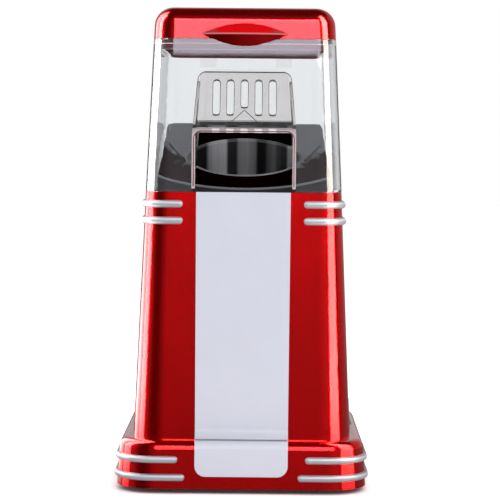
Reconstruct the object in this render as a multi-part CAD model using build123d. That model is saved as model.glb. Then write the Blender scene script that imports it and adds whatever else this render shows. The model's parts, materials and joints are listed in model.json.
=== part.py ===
from build123d import *
import math
import os

os.makedirs("parts", exist_ok=True)

# Retro hot-air popcorn maker. Millimetres, +Z up, front towards -Y.
# Origin: centre of the footprint, on the surface the rubber feet stand on.

# ---------------------------------------------------------------- driving sizes
FOOT_H = 3.0

# plinth: (half width, half depth, corner radius, z)
PL_BOT = (76.7, 88.0, 24.0, 3.0)
PL_TOP = (75.0, 86.3, 23.0, 32.0)
PL_SHOULDER_R = 5.5
PL_WALL = 2.5

# body column
BD_BOT = (67.0, 78.4, 19.0, 32.0)
BD_TOP = (60.5, 71.5, 14.0, 183.1)
BD_WALL = 2.5

# clear tower
TW_BOT = (60.5, 71.5, 14.0, 183.4)
TW_TOP = (56.2, 67.2, 12.6, 276.8)
TW_WALL = 2.4
TW_RABBET_H = 3.4
TW_RABBET_T = 1.0

# lid
LD_BOT = (56.2, 67.2, 13.0, 277.1)
LD_TOP = (55.2, 66.2, 12.6, 296.3)
LD_EDGE_R = 11.6
LD_WALL = 2.4
SKIRT = (51.6, 62.4, 10.0)
SKIRT_Z = 270.4

# popping chamber
CH_Y = -2.6          # axis of chamber, heater, fan and motor
CH_R = 35.4          # inside radius
CH_WALL = 1.0
CH_FLOOR = 128.0

# sloping deck plane: z = DK_Z0 + DK_SLOPE * y
DK_SLOPE = 0.323
DK_Z0 = 205.05
DK_HW = 55.3         # half width of the raised wedge at the front
DK_HW_BACK = 54.0
DK_BACK = 66.6
DK_LIP_R = 77.8      # plan radius of the front lip
DK_LIP_Y = 16.0

# spout
SP_HW_OUT = 31.9
SP_HW_TOP = 29.2
SP_WALL = 2.1
SP_Z_TOP = 258.0
SP_Z_RIM = 221.2

# trim bars
TRIM_R_UP = 2.35
TRIM_R_LO = 2.2
Z_UP = (175.7, 165.6)
Z_LO = (20.7, 9.9)

# fan and motor
FAN_R = 38.0
FAN_Z = (67.0, 82.0)
MOTOR_R = 14.0
MOTOR_Z = (18.0, 56.0)
SHAFT_R = 1.5

# lid hinge axis
HG_Y = 71.6
HG_Z = 280.2
HG_R = 3.5
HG_PIN_R = 1.5


# ---------------------------------------------------------------- helpers
def lerp(a, b, z):
    """Section (half width, half depth, corner radius) at height z on the taper a to b."""
    t = (z - a[3]) / (b[3] - a[3])
    return tuple(a[i] + (b[i] - a[i]) * t for i in range(3)) + (z,)


def section(s, off=0.0):
    hw, hd, r, z = s
    return Plane.XY.offset(z) * RectangleRounded(2 * (hw + off), 2 * (hd + off), max(r + off, 0.6))


def taper(a, b, z0, z1, off=0.0):
    """Four-sided rounded taper on the line a to b, from z0 to z1, grown by off."""
    return loft([section(lerp(a, b, z0), off), section(lerp(a, b, z1), off)], ruled=True)


def box(x0, x1, y0, y1, z0, z1):
    return Pos((x0 + x1) / 2, (y0 + y1) / 2, (z0 + z1) / 2) * Box(x1 - x0, y1 - y0, z1 - z0)


def cyl(r, z0, z1, x=0.0, y=0.0):
    return Pos(x, y, (z0 + z1) / 2) * Cylinder(r, z1 - z0)


def tube(ro, ri, z0, z1, x=0.0, y=0.0):
    return cyl(ro, z0, z1, x, y) - cyl(ri, z0 - 1, z1 + 1, x, y)


def xcyl(r, x0, x1, y, z):
    return Pos((x0 + x1) / 2, y, z) * Rot(0, 90, 0) * Cylinder(r, x1 - x0)


def ycyl(r, y0, y1, x, z):
    return Pos(x, (y0 + y1) / 2, z) * Rot(90, 0, 0) * Cylinder(r, y1 - y0)


def yz_prism(points, x0, x1):
    """Prism of a closed outline in (y, z), between two x."""
    face = make_face(Polyline(*[(x0, y, z) for y, z in points], close=True))
    return extrude(face, amount=x1 - x0, dir=(1, 0, 0))


def xz_prism(points, y0, y1):
    face = make_face(Polyline(*[(x, y0, z) for x, z in points], close=True))
    return extrude(face, amount=y1 - y0, dir=(0, 1, 0))


def group(shapes):
    out = []
    for s in shapes:
        out.extend(s.solids())
    return Compound(children=out)


def save(name, shape):
    solids = shape.solids()
    if len(solids) > 1:
        shape = Compound(children=list(solids))
    else:
        shape = solids[0]
    export_step(shape, "parts/" + name + ".step")


def deck_z(y):
    return DK_Z0 + DK_SLOPE * y


# ---------------------------------------------------------------- outer envelopes
plinth_env = taper(PL_BOT, PL_TOP, PL_BOT[3], PL_TOP[3])
top_edges = plinth_env.edges().filter_by(lambda e: abs(e.center().Z - PL_TOP[3]) < 0.01)
plinth_env = fillet(top_edges, PL_SHOULDER_R)
body_env = taper(BD_BOT, BD_TOP, BD_BOT[3], BD_TOP[3])

# ---------------------------------------------------------------- plinth
plinth_in = taper(PL_BOT, PL_TOP, PL_BOT[3] - 1, PL_TOP[3] - PL_WALL, -PL_WALL)
plinth = plinth_env - plinth_in
b32 = lerp(BD_BOT, BD_TOP, 32.0)
column_hole = extrude(section((b32[0] - 11.0, b32[1] - 11.0, 10.0, 26.0)), amount=10)
plinth -= column_hole
COLUMN_XY = [(-60.0, -57.0), (60.0, -57.0), (-60.0, 57.0), (60.0, 57.0)]
for x, y in COLUMN_XY:
    plinth -= cyl(1.7, 20.0, 40.0, x, y)
# locating bosses for the bottom cover
BOSS_XY = [(-58.0, -66.0), (58.0, -66.0), (-58.0, 66.0), (58.0, 66.0)]
for x, y in BOSS_XY:
    plinth += tube(4.0, 1.3, 8.4, PL_TOP[3] - PL_WALL + 0.5, x, y)
# cord inlet in the rear wall
CORD_Z = 18.0
plinth -= ycyl(6.2, 80.0, 95.0, 0, CORD_Z)
save("plinth_shell", plinth)

# ---------------------------------------------------------------- bottom cover, feet, screws
pb = lerp(PL_BOT, PL_TOP, 5.0)
cover = extrude(section((pb[0] - PL_WALL - 0.5, pb[1] - PL_WALL - 0.5, 21.5, 5.6)), amount=2.4)
for x, y in BOSS_XY:
    cover -= cyl(1.9, 5.0, 9.0, x, y)
# air intake slots under the fan
for i in range(9):
    x = -32.0 + 8.0 * i
    half = math.sqrt(40.0 ** 2 - x ** 2)
    cover -= box(x - 1.6, x + 1.6, CH_Y - half, CH_Y + half, 5.0, 9.0)
# crossbar that keeps the louvres stiff
cover += box(-39.0, 39.0, CH_Y - 2.0, CH_Y + 2.0, 5.6, 8.0)
cover += box(-39.0, 39.0, CH_Y - 22.0, CH_Y - 19.0, 5.6, 8.0)
cover += box(-39.0, 39.0, CH_Y + 19.0, CH_Y + 22.0, 5.6, 8.0)
save("bottom_cover", cover)

FEET_XY = [(-54.0, -50.0), (54.0, -50.0), (-54.0, 50.0), (54.0, 50.0)]
feet = []
for x, y in FEET_XY:
    foot = cyl(9.0, 0.0, 5.55, x, y)
    foot = chamfer(foot.edges().filter_by(GeomType.CIRCLE).sort_by(Axis.Z)[0], 1.2)
    feet.append(foot)
save("rubber_feet", group(feet))

column_screws = []
for x, y in COLUMN_XY:
    column_screws.append(cyl(2.8, 27.6, 29.45, x, y) + cyl(1.25, 29.45, 38.0, x, y))
save("column_screws", group(column_screws))

screws = []
for x, y in BOSS_XY:
    s = cyl(3.0, 3.4, 5.5, x, y) + cyl(1.25, 5.5, 20.0, x, y)
    s -= box(x - 2.0, x + 2.0, y - 0.4, y + 0.4, 3.0, 4.3)
    s -= box(x - 0.4, x + 0.4, y - 2.0, y + 2.0, 3.0, 4.3)
    screws.append(s)
save("base_screws", group(screws))

# ---------------------------------------------------------------- body column
body_in = taper(BD_BOT, BD_TOP, BD_BOT[3] - 1, BD_TOP[3] + 1, -BD_WALL)
body = body_env - body_in
# foot flange that stands on the plinth top, inside the column
flange = extrude(section((b32[0] - BD_WALL, b32[1] - BD_WALL, 16.5, 32.0)), amount=2.6)
flange -= extrude(section((b32[0] - 11.5, b32[1] - 11.5, 9.5, 31.0)), amount=5)
body += flange
for x, y in COLUMN_XY:
    body += cyl(3.5, 33.0, 40.0, x, y)
    body -= cyl(1.3, 31.0, 39.0, x, y)
# ledge that carries the deck
led = lerp(BD_BOT, BD_TOP, 176.0)
ledge = extrude(section((led[0] - BD_WALL + 0.3, led[1] - BD_WALL + 0.3, 12.0, 175.0)), amount=2.4)
ledge -= extrude(section((led[0] - 7.5, led[1] - 7.5, 8.0, 174.0)), amount=5)
ledge &= taper(BD_BOT, BD_TOP, 170.0, 183.1, -0.5)
body += ledge
DK_SCREWS = [(-51.5, -61.0), (51.5, -61.0)]
for x, y in DK_SCREWS:
    body += cyl(4.0, 167.0, 176.0, x, y) & taper(BD_BOT, BD_TOP, 160.0, 183.1, -0.5)
    body -= cyl(1.35, 169.0, 180.0, x, y)
# rear cooling louvres
for i in range(7):
    z = 60.0 + 8.0 * i
    body -= box(-27.0, 27.0, 60.0, 90.0, z, z + 3.0)
    body -= ycyl(1.5, 60.0, 90.0, -27.0, z + 1.5)
    body -= ycyl(1.5, 60.0, 90.0, 27.0, z + 1.5)
# rocker switch cut-out in the right side wall, square to the tapered wall
SW_Y, SW_Z = -44.0, 43.9
SW_TILT = math.degrees(math.atan((BD_BOT[0] - BD_TOP[0]) / (BD_TOP[3] - BD_BOT[3])))
sw_x = lerp(BD_BOT, BD_TOP, SW_Z)[0]
SW = Pos(sw_x, SW_Y, SW_Z) * Rot(0, -SW_TILT, 0)   # local +X is the wall's outward normal
body -= SW * Box(20, 13.4, 19.4)
body -= box(45.0, 63.9, SW_Y - 7.6, SW_Y + 7.6, 33.4, 60.0)
save("body_shell", body)

# ---------------------------------------------------------------- rocker switch
housing = SW * (Pos(0.3, 0, 0) * Box(0.6, 15.0, 21.0) + Pos(-6.6, 0, 0) * Box(13.2, 13.0, 19.0))
RK_PIVOT = -4.0   # the rocker's pin, measured from the wall's outer face
housing -= SW * (Pos(-2.6, 0, 0) * Box(12.2, 10.8, 16.8))
housing -= SW * Pos(RK_PIVOT, 0, 0) * Rot(90, 0, 0) * Cylinder(1.05, 12.2)
terminals = SW * (Pos(-16.6, 0, 5.5) * Box(6.8, 4.8, 0.8) + Pos(-16.6, 0, -1.5) * Box(6.8, 4.8, 0.8))
save("switch_housing", housing)
save("switch_terminals", terminals)
RK_TILT = 9.0
rock_face = yz_prism([(-5.2, -8.0), (5.2, -8.0), (5.2, 8.0), (-5.2, 8.0)], -2.2, 2.8)
# shallow V across the rocker's face, so one half stands proud
rocker = rock_face - Pos(4.35, 0, 4.2) * Rot(0, 5.0, 0) * Box(4.2, 12, 9.2) - Pos(4.35, 0, -4.2) * Rot(0, -5.0, 0) * Box(4.2, 12, 9.2)
rocker += Pos(-2.4, 0, 0) * Rot(90, 0, 0) * Cylinder(2.2, 10.4)
rocker += Pos(-2.4, 0, 0) * Rot(90, 0, 0) * Cylinder(1.0, 11.8)
rocker &= Pos(-2.4, 0, 0) * Rot(90, 0, 0) * Cylinder(8.15, 14)
rocker = SW * Pos(RK_PIVOT, 0, 0) * Rot(0, -RK_TILT, 0) * Pos(2.4, 0, 0) * rocker
save("switch_rocker", rocker)

# ---------------------------------------------------------------- white front panel
P_OFF = 1.1
bt = BD_TOP[1] + P_OFF
bz = BD_BOT[1] + P_OFF
pz = lerp(PL_BOT, PL_TOP, 30.0)[1] + P_OFF - 0.1
pz_low = lerp(PL_BOT, PL_TOP, 10.7)[1] + P_OFF - 0.1
outer_line = FilletPolyline(
    (0, -bt, 183.1),
    (0, -bz - 0.05, 33.2),
    (0, -pz, 33.2),
    (0, -pz_low - 0.7, 0.0),
    radius=6.2,
)
outer_line_face = make_face(
    outer_line + Polyline((0, -pz_low - 0.7, 0.0), (0, -40.0, 0.0), (0, -40.0, 183.1), (0, -bt, 183.1))
)
panel = extrude(outer_line_face, amount=40, both=True)
outline = xz_prism(
    [(-28.9, 183.1), (-28.3, 6.0), (28.3, 6.0), (28.9, 183.1)], -100.0, -60.0
)
panel &= outline
lower = xz_prism([(-40, 10.7), (40, 10.7), (40, 190), (-40, 190)], -100.0, -60.0)
lower = fillet(lower.edges().filter_by(Axis.Y), 0.5)
panel &= lower
corner = extrude(Plane.XZ.offset(60.0) * Pos(0, 10.7 + 100.0) * RectangleRounded(56.6, 200.0, 6.5), amount=40)
corner += box(-29.2, 29.2, -100.0, -60.0, 30.0, 183.1)
panel &= corner
panel -= taper(BD_BOT, BD_TOP, 10.0, 190.0, 0.03)
grown = taper(PL_BOT, PL_TOP, PL_BOT[3] - 3, PL_TOP[3] + 0.03, 0.03)
grown = fillet(grown.edges().filter_by(lambda e: abs(e.center().Z - PL_TOP[3] - 0.03) < 0.01), PL_SHOULDER_R)
panel -= grown
save("front_panel", panel.solids().sort_by(SortBy.VOLUME)[-1])


# ---------------------------------------------------------------- trim bars
def trim_bar(a, b, z, r, x_in, y_in, side, cutter):
    """Half-round bar round one front corner at height z: side is -1 left, 1 right."""
    hw, hd, cr, _ = lerp(a, b, z)
    pts = [
        (side * x_in, -hd, z),
        (side * (hw - cr), -hd, z),
        (side * hw, -hd + cr, z),
        (side * hw, y_in, z),
    ]
    start, arc_a, arc_b, end = pts
    line1 = Line(start, arc_a)
    mid = (side * (hw - cr + cr * math.sin(math.pi / 4)), -hd + cr - cr * math.cos(math.pi / 4), z)
    arc = ThreePointArc(arc_a, mid, arc_b)
    line2 = Line(arc_b, end)
    path = line1 + arc + line2
    bar = sweep(Plane(origin=start, x_dir=(0, 1, 0), z_dir=(side, 0, 0)) * Circle(r), path=path)
    bar += Pos(*start) * Sphere(r)
    bar += Pos(*end) * Sphere(r)
    bar -= cutter
    return bar.solids().sort_by(SortBy.VOLUME)[-1]


body_cut = taper(BD_BOT, BD_TOP, 150.0, 183.0, 0.03)
plinth_cut = taper(PL_BOT, PL_TOP, 3.2, 27.0, 0.03)
X_UP = 39.4
X_LO = (41.0, 36.6)
ups = [trim_bar(BD_BOT, BD_TOP, z, TRIM_R_UP, X_UP, -22.0, 1, body_cut) for z in Z_UP]
los = [
    trim_bar(PL_BOT, PL_TOP, z, TRIM_R_LO, x, y, 1, plinth_cut)
    for z, x, y in ((Z_LO[0], X_LO[0], -18.0), (Z_LO[1], X_LO[1], -12.0))
]
save("trim_upper_right", group(ups))
save("trim_lower_right", group(los))
save("trim_upper_left", group([mirror(b, about=Plane.YZ) for b in ups]))
save("trim_lower_left", group([mirror(b, about=Plane.YZ) for b in los]))

# ---------------------------------------------------------------- deck with sloping top
dk_top = lerp(BD_BOT, BD_TOP, 180.0)
wedge = yz_prism(
    [(-72.0, 178.0), (-72.0, deck_z(-72.0)), (DK_BACK, deck_z(DK_BACK)), (DK_BACK, 178.0)], -DK_HW, DK_HW
)
plan_face = make_face(
    Polyline(
        (-DK_HW, -30.0, 170.0), (DK_HW, -30.0, 170.0), (DK_HW_BACK, DK_BACK, 170.0), (-DK_HW_BACK, DK_BACK, 170.0),
        close=True,
    )
)
plan = extrude(plan_face, amount=70, dir=(0, 0, 1))
upright = plan.edges().filter_by(lambda e: abs(e.length - 70) < 0.01).sort_by(Axis.Y)
plan = fillet(upright[2:], 8.0)
lip = cyl(DK_LIP_R, 170.0, 240.0, 0, DK_LIP_Y) & box(-DK_HW, DK_HW, -80.0, -29.0, 170.0, 240.0)
wedge &= plan + lip
wedge_in = yz_prism(
    [(-80.0, 170.0), (-80.0, deck_z(-80.0) - 2.4), (DK_BACK - 2.3, deck_z(DK_BACK - 2.3) - 2.4), (DK_BACK - 2.3, 170.0)],
    -DK_HW_BACK + 2.3,
    DK_HW_BACK - 2.3,
)
back_room = box(-DK_HW_BACK + 2.3, DK_HW_BACK - 2.3, -20.0, DK_BACK - 2.3, 160.0, 240.0)
back_room = fillet(back_room.edges().filter_by(Axis.Z).sort_by(Axis.Y)[2:], 5.7)
wedge_in &= (cyl(DK_LIP_R - 2.3, 160.0, 240.0, 0, DK_LIP_Y) & box(-60, 60, -80, -15, 150, 250)) + back_room
plate_s = (dk_top[0] - BD_WALL - 0.35, dk_top[1] - BD_WALL - 0.35, 11.0)
plate = extrude(section(plate_s + (177.6,)), amount=3.6)
deck = plate + wedge
deck -= wedge_in
# collar round the popping chamber
collar_in = CH_R + CH_WALL + 0.25
collar = tube(collar_in + 2.2, collar_in, 168.0, 240.0, 0, CH_Y)
collar &= yz_prism([(-80.0, 168.0), (-80.0, deck_z(-80.0)), (80.0, deck_z(80.0)), (80.0, 168.0)], -60, 60)
deck -= cyl(collar_in + 1.0, 160.0, 240.0, 0, CH_Y)
deck += collar
# guide ribs that steer stray kernels back to the chamber
for side in (-1, 1):
    x0, y0, x1, y1 = side * 38.6, -9.5, side * 49.0, 23.0
    length = math.hypot(x1 - x0, y1 - y0)
    ang = math.degrees(math.atan2(y1 - y0, x1 - x0))
    slope = math.degrees(math.atan2(deck_z(y1) - deck_z(y0), length))
    rib = Pos((x0 + x1) / 2, (y0 + y1) / 2, (deck_z(y0) + deck_z(y1)) / 2) * Rot(0, 0, ang) * Rot(0, -slope, 0)
    rib = rib * (Box(length, 1.5, 2.0) + Pos(length / 2, 0, 0) * Cylinder(1.3, 2.0))
    deck += rib
# screw holes in the plate
for x, y in DK_SCREWS:
    deck -= cyl(1.7, 170.0, 183.5, x, y)
save("chamber_deck", deck.solids().sort_by(SortBy.VOLUME)[-1])
deck_screws = []
for x, y in DK_SCREWS:
    deck_screws.append(cyl(2.8, 181.25, 182.9, x, y) + cyl(1.3, 172.0, 181.25, x, y))
save("deck_screws", group(deck_screws))

# ---------------------------------------------------------------- popping chamber
cup = cyl(CH_R + CH_WALL, CH_FLOOR, 240.0, 0, CH_Y) - cyl(CH_R, CH_FLOOR + 1.2, 241.0, 0, CH_Y)
cup &= yz_prism(
    [(-80.0, 100.0), (-80.0, deck_z(-80.0) + 0.5), (80.0, deck_z(80.0) + 0.5), (80.0, 100.0)], -60, 60
)
# central cone that spreads the hot air
cup += Pos(0, CH_Y, CH_FLOOR + 4.0) * Cone(12.0, 2.0, 8.0)
# slanted air louvres just above the floor
for i in range(14):
    a = 360.0 / 14 * i
    slot = Pos(0, CH_Y, 0) * Rot(0, 0, a) * Pos(CH_R, 0, CH_FLOOR + 10.0) * Rot(0, 0, 35.0) * Box(9.0, 2.2, 12.0)
    cup -= slot
# hanging flange
cup += tube(CH_R + 6.5, CH_R + 0.5, 164.0, 165.2, 0, CH_Y)
save("popping_chamber", cup.solids().sort_by(SortBy.VOLUME)[-1])

# ---------------------------------------------------------------- heater
HH_R = 42.0
sleeve = tube(HH_R, HH_R - 0.8, 87.0, 163.8, 0, CH_Y)
sleeve += tube(HH_R, CH_R + 4.0, 163.0, 163.8, 0, CH_Y)
sleeve += tube(HH_R + 6.0, HH_R - 0.8, 87.0, 88.0, 0, CH_Y)
SLEEVE_SCREWS = [(HH_R + 3.0) for _ in range(3)]
for i in range(3):
    a = math.radians(90 + 120 * i)
    sleeve -= cyl(1.6, 80.0, 95.0, (HH_R + 3.2) * math.cos(a), CH_Y + (HH_R + 3.2) * math.sin(a))
save("heater_sleeve", sleeve)
mica = []
cross = box(-38.0, 38.0, CH_Y - 0.4, CH_Y + 0.4, 92.0, 122.0)
cross += box(-0.4, 0.4, CH_Y - 38.0, CH_Y + 38.0, 92.0, 122.0)
save("mica_cross", cross)
coils = []
for k, (r, z) in enumerate([(10.0, 96.5), (17.0, 96.5), (24.0, 96.5), (31.0, 96.5), (13.5, 107.0), (20.5, 107.0), (27.5, 107.0), (10.0, 117.0), (17.0, 117.0), (24.0, 117.0), (31.0, 117.0)]):
    coils.append(Pos(0, CH_Y, z) * Torus(r, 1.4))
coil_ring = coils
coil = coil_ring[0]
for c in coil_ring[1:]:
    coil += c
coil -= box(-38.0, 38.0, CH_Y - 0.45, CH_Y + 0.45, 90.0, 124.0)
coil -= box(-0.45, 0.45, CH_Y - 38.0, CH_Y + 38.0, 90.0, 124.0)
save("heater_coil", coil)

# thermostat and thermal fuse clipped to the sleeve
tx = HH_R + 0.15
thermo = Pos(tx + 4.0, CH_Y, 140.0) * Rot(0, 90, 0) * Cylinder(8.0, 8.0)
thermo += box(tx + 0.1, tx + 1.1, CH_Y - 13.0, CH_Y + 13.0, 136.0, 144.0)
save("thermostat", thermo)
fuse = Pos(-(HH_R + 2.4), CH_Y, 140.0) * Cylinder(2.1, 14.0)
fuse += Pos(-(HH_R + 2.4), CH_Y, 149.0) * Cylinder(0.5, 6.0) + Pos(-(HH_R + 2.4), CH_Y, 131.0) * Cylinder(0.5, 6.0)
save("thermal_fuse", fuse)

# ---------------------------------------------------------------- fan housing
fan_house = tube(46.0, 43.6, 64.0, 86.8, 0, CH_Y)
fan_house += tube(46.0, 30.0, 84.4, 86.8, 0, CH_Y)
for i in range(3):
    a = math.radians(90 + 120 * i)
    px, py = (HH_R + 3.2) * math.cos(a), CH_Y + (HH_R + 3.2) * math.sin(a)
    fan_house += cyl(4.2, 76.0, 86.8, px, py) - cyl(43.6, 60.0, 90.0, 0, CH_Y)
    fan_house -= cyl(1.25, 78.0, 90.0, px, py)
# standing legs down to the bottom cover
for x, y in ((-44.0, CH_Y - 32.0), (44.0, CH_Y - 32.0), (-44.0, CH_Y + 32.0), (44.0, CH_Y + 32.0)):
    leg = cyl(4.0, 8.05, 68.0, x, y)
    arm = box(min(x, x * 0.78), max(x, x * 0.78), y - 3.0 if y < CH_Y else y - 3.0, y + 3.0, 64.0, 68.0)
    fan_house += leg
    d = math.hypot(x, y - CH_Y)
    ux, uy = x / d, (y - CH_Y) / d
    link = Pos((44.8 * ux + x) / 2, CH_Y + (44.8 * uy + (y - CH_Y)) / 2, 66.0) * Rot(0, 0, math.degrees(math.atan2(uy, ux))) * Box(d - 44.8 + 2.0, 5.0, 4.0)
    fan_house += link
save("fan_housing", fan_house.solids().sort_by(SortBy.VOLUME)[-1])

fan_plate = cyl(43.3, 61.4, 63.7, 0, CH_Y) - cyl(8.0, 60.0, 70.0, 0, CH_Y)
for i in range(8):
    a = 45.0 * i + 22.5
    slot = Pos(0, CH_Y, 62.5) * Rot(0, 0, a) * Pos(24.0, 0, 0) * Box(16.0, 7.0, 6.0)
    fan_plate -= slot
fan_plate += tube(46.0, 42.0, 61.4, 63.7, 0, CH_Y)
for x in (-8.0, 8.0):
    fan_plate -= cyl(1.3, 60.0, 66.0, x, CH_Y)
save("motor_plate", fan_plate)

heat_screws = []
for i in range(3):
    a = math.radians(90 + 120 * i)
    px, py = (HH_R + 3.2) * math.cos(a), CH_Y + (HH_R + 3.2) * math.sin(a)
    heat_screws.append(cyl(2.4, 88.05, 89.8, px, py) + cyl(1.2, 79.0, 88.05, px, py))
save("sleeve_screws", group(heat_screws))

# ---------------------------------------------------------------- motor
can = cyl(MOTOR_R, MOTOR_Z[0] + 4.0, MOTOR_Z[1], 0, CH_Y) - cyl(MOTOR_R - 1.2, MOTOR_Z[0] + 3.0, MOTOR_Z[1] - 1.5, 0, CH_Y)
can += tube(5.0, 2.6, MOTOR_Z[1], MOTOR_Z[1] + 2.0, 0, CH_Y)
can -= cyl(2.6, 40.0, 70.0, 0, CH_Y)
save("motor_can", can)
magnets = []
ring = tube(MOTOR_R - 1.25, MOTOR_R - 3.6, 26.0, 52.0, 0, CH_Y)
magnets = ring - box(-3.0, 3.0, -40, 40, 20, 60)
save("motor_magnets", magnets)
end_cap = cyl(MOTOR_R, MOTOR_Z[0], MOTOR_Z[0] + 3.95, 0, CH_Y) - cyl(2.4, 10.0, 30.0, 0, CH_Y)
end_cap += box(-9.0, -7.0, CH_Y - 2.5, CH_Y + 2.5, 12.6, MOTOR_Z[0] + 0.5)
end_cap += box(7.0, 9.0, CH_Y - 2.5, CH_Y + 2.5, 12.6, MOTOR_Z[0] + 0.5)
save("motor_end_cap", end_cap)
bushes = [
    tube(2.4, SHAFT_R + 0.05, MOTOR_Z[0] + 0.5, MOTOR_Z[0] + 3.9, 0, CH_Y),
    tube(2.55, SHAFT_R + 0.05, MOTOR_Z[1] - 1.5, MOTOR_Z[1] + 2.0, 0, CH_Y),
]
save("motor_bushes", group(bushes))
shaft = cyl(SHAFT_R, 16.6, 84.0, 0, CH_Y)
armature = cyl(9.8, 27.0, 51.0, 0, CH_Y)
for i in range(3):
    armature -= Pos(0, CH_Y, 39.0) * Rot(0, 0, 120.0 * i) * Pos(9.5, 0, 0) * Box(5.0, 2.4, 26.0)
armature += cyl(4.0, 23.4, 27.0, 0, CH_Y)
armature -= cyl(SHAFT_R, 10.0, 60.0, 0, CH_Y)
save("motor_shaft", shaft)
save("motor_armature", armature)
# motor stands in a saddle hung from the motor plate
bracket = tube(MOTOR_R + 2.0, MOTOR_R + 0.05, 50.0, 58.2, 0, CH_Y) + tube(MOTOR_R + 2.0, 5.4, 58.2, 61.3, 0, CH_Y)
for x in (-8.0, 8.0):
    bracket -= cyl(1.1, 56.0, 66.0, x, CH_Y)
save("motor_bracket", bracket)
mscrews = [cyl(2.2, 63.75, 65.2, x, CH_Y) + cyl(1.05, 58.6, 63.75, x, CH_Y) for x in (-8.0, 8.0)]
save("motor_screws", group(mscrews))

# ---------------------------------------------------------------- impeller
imp = cyl(FAN_R, FAN_Z[0], FAN_Z[0] + 1.6, 0, CH_Y) + cyl(6.0, FAN_Z[0], FAN_Z[1] + 1.0, 0, CH_Y)
for i in range(12):
    blade = Pos(0, CH_Y, (FAN_Z[0] + FAN_Z[1]) / 2) * Rot(0, 0, 30.0 * i) * Pos(22.0, 0, 0) * Rot(0, 0, 12.0) * Box(30.0, 1.4, FAN_Z[1] - FAN_Z[0])
    imp += blade
imp -= cyl(SHAFT_R, 60.0, 90.0, 0, CH_Y)
imp = imp & cyl(FAN_R, 60.0, 90.0, 0, CH_Y)
save("fan_impeller", imp.solids().sort_by(SortBy.VOLUME)[-1])

# ---------------------------------------------------------------- rectifier board
board = box(-40.0, -12.0, 58.6, 60.2, 22.0, 50.0)
board += box(-38.0, -34.0, 57.0, 58.8, 8.05, 30.0) + box(-18.0, -14.0, 57.0, 58.8, 8.05, 30.0)
save("rectifier_board", board)
diodes = []
for i in range(4):
    z = 27.0 + 6.0 * i
    diodes.append(xcyl(1.4, -29.0, -23.0, 61.7, z) + xcyl(0.4, -34.0, -18.0, 61.7, z))
save("rectifier_diodes", group(diodes))

# ---------------------------------------------------------------- cord gland
rear = lerp(PL_BOT, PL_TOP, CORD_Z)[1]
G_OUT = lerp(PL_BOT, PL_TOP, Z_LO[1])[1] + TRIM_R_LO   # level with the front bars
gland = ycyl(8.5, rear - 2.0, G_OUT, 0, CORD_Z) - taper(PL_BOT, PL_TOP, PL_BOT[3], 27.0, 0.05)
gland += ycyl(6.0, rear - 4.5, rear + 0.9, 0, CORD_Z)
gland += ycyl(8.5, rear - 7.0, rear - 3.4, 0, CORD_Z)
gland -= ycyl(3.5, 70.0, 95.0, 0, CORD_Z)
save("cord_gland", gland)

# ---------------------------------------------------------------- clear tower
tower = taper(TW_BOT, TW_TOP, TW_BOT[3], TW_TOP[3]) - taper(TW_BOT, TW_TOP, TW_BOT[3] - 1, TW_TOP[3] + 1, -TW_WALL)
tower -= taper(TW_BOT, TW_TOP, TW_TOP[3] - TW_RABBET_H, TW_TOP[3] + 1, -TW_WALL + TW_RABBET_T)
notch = Plane.XZ.offset(40.0) * Pos(0, 150.0 + (SP_Z_RIM + 0.15 - 150.0) / 2) * RectangleRounded(2 * (SP_HW_OUT + 0.15), SP_Z_RIM + 0.15 - 150.0, 5.2)
tower -= extrude(notch, amount=60)
# locating lip that drops inside the rim of the body
lip_ring = extrude(section((57.7, 68.7, 11.2, 181.6)), amount=3.0) + extrude(section((58.6, 69.6, 12.0, 183.5)), amount=1.1)
lip_ring -= extrude(section((56.3, 67.3, 9.8, 180.0)), amount=6.0)
tower += lip_ring - extrude(notch, amount=60)
# hinge ears on the rear wall
ears = []
for s in (-1, 1):
    x0, x1 = sorted((s * 20.2, s * 31.0))
    ear = xcyl(HG_R, x0, x1, HG_Y, HG_Z)
    web = yz_prism(
        [
            (66.0, 262.0),
            (66.0, 276.8),
            (68.5, 276.8),
            (HG_Y - HG_R + 0.05, HG_Z),
            (HG_Y + HG_R - 0.02, HG_Z),
            (HG_Y + HG_R - 0.4, 275.0),
        ],
        x0,
        x1,
    )
    ear = ear + web
    ear -= xcyl(HG_PIN_R + 0.02, -40, 40, HG_Y, HG_Z)
    ears.append(ear)
inner_clear = taper(TW_BOT, TW_TOP, TW_BOT[3] - 1, TW_TOP[3] + 0.5, -TW_WALL + TW_RABBET_T)
for ear in ears:
    tower += ear - inner_clear
save("clear_tower", tower.solids().sort_by(SortBy.VOLUME)[-1])

# ---------------------------------------------------------------- spout hood
front_lo = lambda z: -lerp(TW_BOT, TW_TOP, z)[1]
hood_out_pts = [
    (front_lo(185.2), 185.2),
    (front_lo(SP_Z_RIM), SP_Z_RIM),
    (-65.5, 222.2),
    (-62.3, 224.0),
    (-60.0, 227.0),
    (-40.0, SP_Z_TOP),
    (-37.6, SP_Z_TOP),
    (-36.2, deck_z(-36.2) + 0.6),
    (-60.5, deck_z(-60.5) + 0.6),
]
hood_in_pts = [
    (-80.0, 180.0),
    (-80.0, SP_Z_RIM - SP_WALL),
    (-66.2, SP_Z_RIM - SP_WALL + 0.6),
    (-61.8, SP_Z_RIM - SP_WALL + 2.6),
    (-58.4, 226.4),
    (-58.4 + 20.5, SP_Z_TOP + 0.6),
    (-10.0, SP_Z_TOP + 0.6),
    (-10.0, 180.0),
]
hood = yz_prism(hood_out_pts, -SP_HW_OUT, SP_HW_OUT)


def hood_outline(hw, hw_top, z_top, r_top, y0, y1):
    s = xz_prism(
        [(-hw, 170.0), (hw, 170.0), (hw, 219.0), (hw_top, z_top), (-hw_top, z_top), (-hw, 219.0)], y0, y1
    )
    tops = s.edges().filter_by(Axis.Y).sort_by(Axis.Z)
    s = fillet(tops[-2:], r_top)
    mids = s.edges().filter_by(Axis.Y)
    return s


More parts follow.
